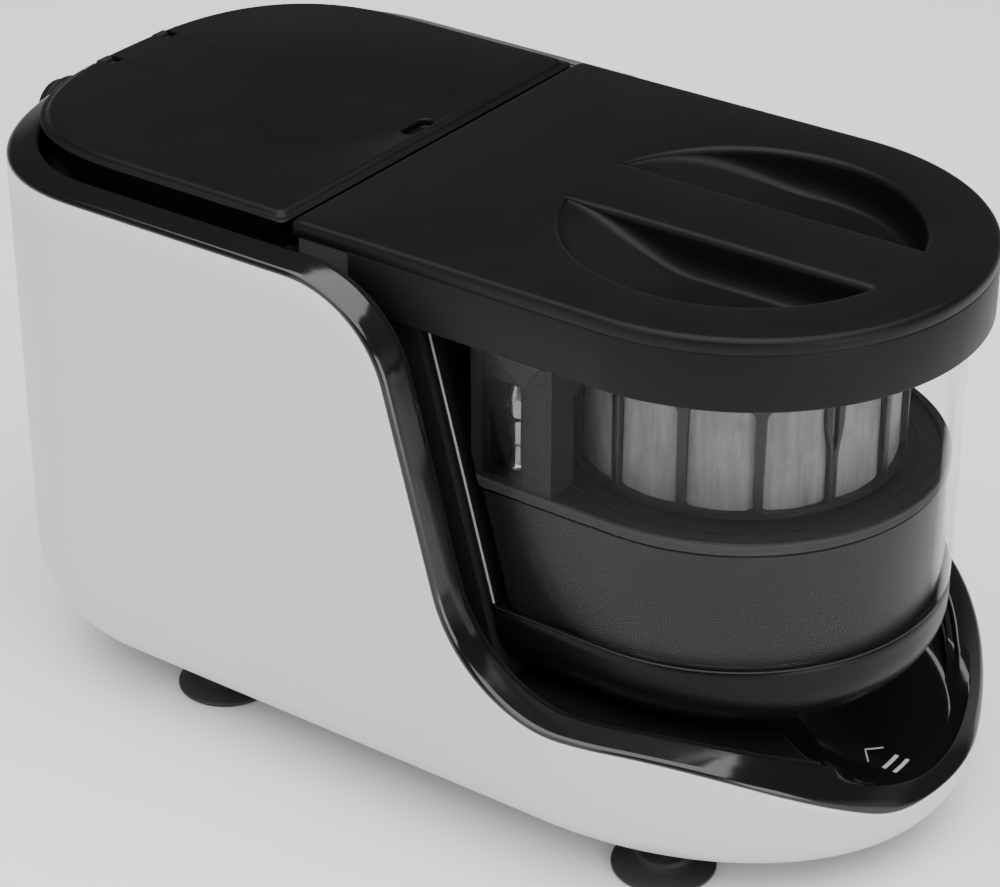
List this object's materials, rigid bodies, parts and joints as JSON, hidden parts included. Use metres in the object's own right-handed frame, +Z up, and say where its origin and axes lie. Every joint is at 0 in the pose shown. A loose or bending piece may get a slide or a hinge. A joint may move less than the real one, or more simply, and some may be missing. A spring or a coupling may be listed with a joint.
{
  "type": "washing-machine fibre filter unit",
  "caption": "Washing-machine fibre filter with a mesh drum in a clear pull-out bowl, a lift-off front lid with finger grips and a hinged rear lid.",
  "frame": {"origin": "on the surface the feet stand on, under the middle of the overall length and width", "axes": "+Z up, -Y towards the front where the bowl pulls out, +Y towards the hose elbows at the rear, X across the unit"},
  "size_m": [0.193, 0.376, 0.204],
  "materials": {
    "shell_white": "satin",
    "trim_gloss": "polished",
    "lid_black": "fine satin",
    "base_black": "satin",
    "pot_satin": "satin",
    "dark_satin": "satin",
    "grey_satin": "satin",
    "clear_plastic": "clear polished",
    "mesh_steel": "fine woven mesh",
    "hub_grey": "satin",
    "seal_rubber": "matte",
    "foot_rubber": "matte",
    "elbow_black": "satin",
    "hose_grey": "matte",
    "inner_grey": "matte",
    "inner_ivory": "matte",
    "coil_blue": "matte",
    "board_green": "solder mask",
    "magnet_dark": "sintered ferrite, matte",
    "steel": "satin",
    "brass": "turned"
  },
  "bodies": {
    "housing": {"outer_shell": "shell_white", "trim_band": "trim_gloss", "dock_tray": "trim_gloss", "chassis_plate": "inner_grey", "tower_housing": "dark_satin", "head_block": "grey_satin", "dock_seals": "seal_rubber", "service_deck": "dark_satin", "access_cover": "dark_satin", "hinge_pin": "steel", "pump_volute": "inner_grey", "pump_motor": "steel", "drive_motor": "steel", "motor_bracket": "steel", "control_board": "board_green", "board_parts": "inner_grey", "board_pillars": "brass", "power_supply": "inner_grey", "power_inlet": "dark_satin", "inlet_port": "dark_satin", "outlet_port": "dark_satin", "port_nuts": "steel", "feed_hose": "hose_grey", "drain_hose": "hose_grey", "outlet_hose": "hose_grey", "inlet_valve": "inner_ivory", "valve_coil": "coil_blue", "level_sensor": "inner_ivory", "suction_feet": "foot_rubber", "foot_studs": "steel", "chassis_screws": "steel", "deck_screws": "steel", "dock_magnets": "steel"},
    "rear_lid": {"rear_lid": "lid_black", "rear_lid_seal": "seal_rubber"},
    "bowl": {"clear_bowl": "clear_plastic", "bowl_joint_ring": "clear_plastic", "bowl_base": "base_black", "bowl_keepers": "steel"},
    "pot": {"catch_pot": "pot_satin", "pot_seal": "seal_rubber", "drum_deck": "dark_satin", "shaft_bushes": "inner_ivory", "flow_head": "dark_satin", "head_window": "clear_plastic", "spray_nozzle": "clear_plastic"},
    "drum": {"drum_frame": "dark_satin", "drum_mesh": "mesh_steel", "drum_hub": "hub_grey", "drum_shaft": "steel", "driven_magnet": "magnet_dark"},
    "front_lid": {"front_lid": "lid_black", "lid_liner": "dark_satin", "lid_seal": "seal_rubber"},
    "rotor": {"drive_rotor": "magnet_dark"},
    "impeller": {"pump_impeller": "inner_ivory"},
    "inlet_elbow": {"inlet_elbow": "elbow_black"},
    "outlet_elbow": {"outlet_elbow": "elbow_black"}
  },
  "joints": [
    {"name": "rear_lid_hinge", "type": "hinge", "parent": "housing", "child": "rear_lid", "pos_m": [0, 0.1495, 0.2023], "axis": [-1, 0, 0], "range_deg": [0, 90]},
    {"name": "bowl_slide", "type": "slide", "parent": "housing", "child": "bowl", "axis": [0, -1, 0], "range_m": [0, 0.165]},
    {"name": "pot_lift", "type": "slide", "parent": "bowl", "child": "pot", "axis": [0, 0, 1], "range_m": [0, 0.14]},
    {"name": "lid_lift", "type": "slide", "parent": "pot", "child": "front_lid", "axis": [0, 0, 1], "range_m": [0, 0.06]},
    {"name": "drum_spin", "type": "hinge", "parent": "pot", "child": "drum", "pos_m": [0, -0.1022, 0.13], "axis": [0, 0, 1], "continuous": true},
    {"name": "drive_spin", "type": "hinge", "parent": "housing", "child": "rotor", "pos_m": [0, -0.1022, 0.05], "axis": [0, 0, 1], "continuous": true},
    {"name": "impeller_spin", "type": "hinge", "parent": "housing", "child": "impeller", "pos_m": [0.004, 0.07, 0.03], "axis": [0, 0, 1], "continuous": true},
    {"name": "inlet_swivel", "type": "hinge", "parent": "housing", "child": "inlet_elbow", "pos_m": [-0.003, 0.176, 0.173], "axis": [0, 1, 0], "range_deg": [0, 90]},
    {"name": "outlet_swivel", "type": "hinge", "parent": "housing", "child": "outlet_elbow", "pos_m": [0.026, 0.176, 0.128], "axis": [0, -1, 0], "range_deg": [0, 90]}
  ],
  "couplings": [
    {"joint": "drive_spin", "follows": "drum_spin", "ratio": 1}
  ]
}
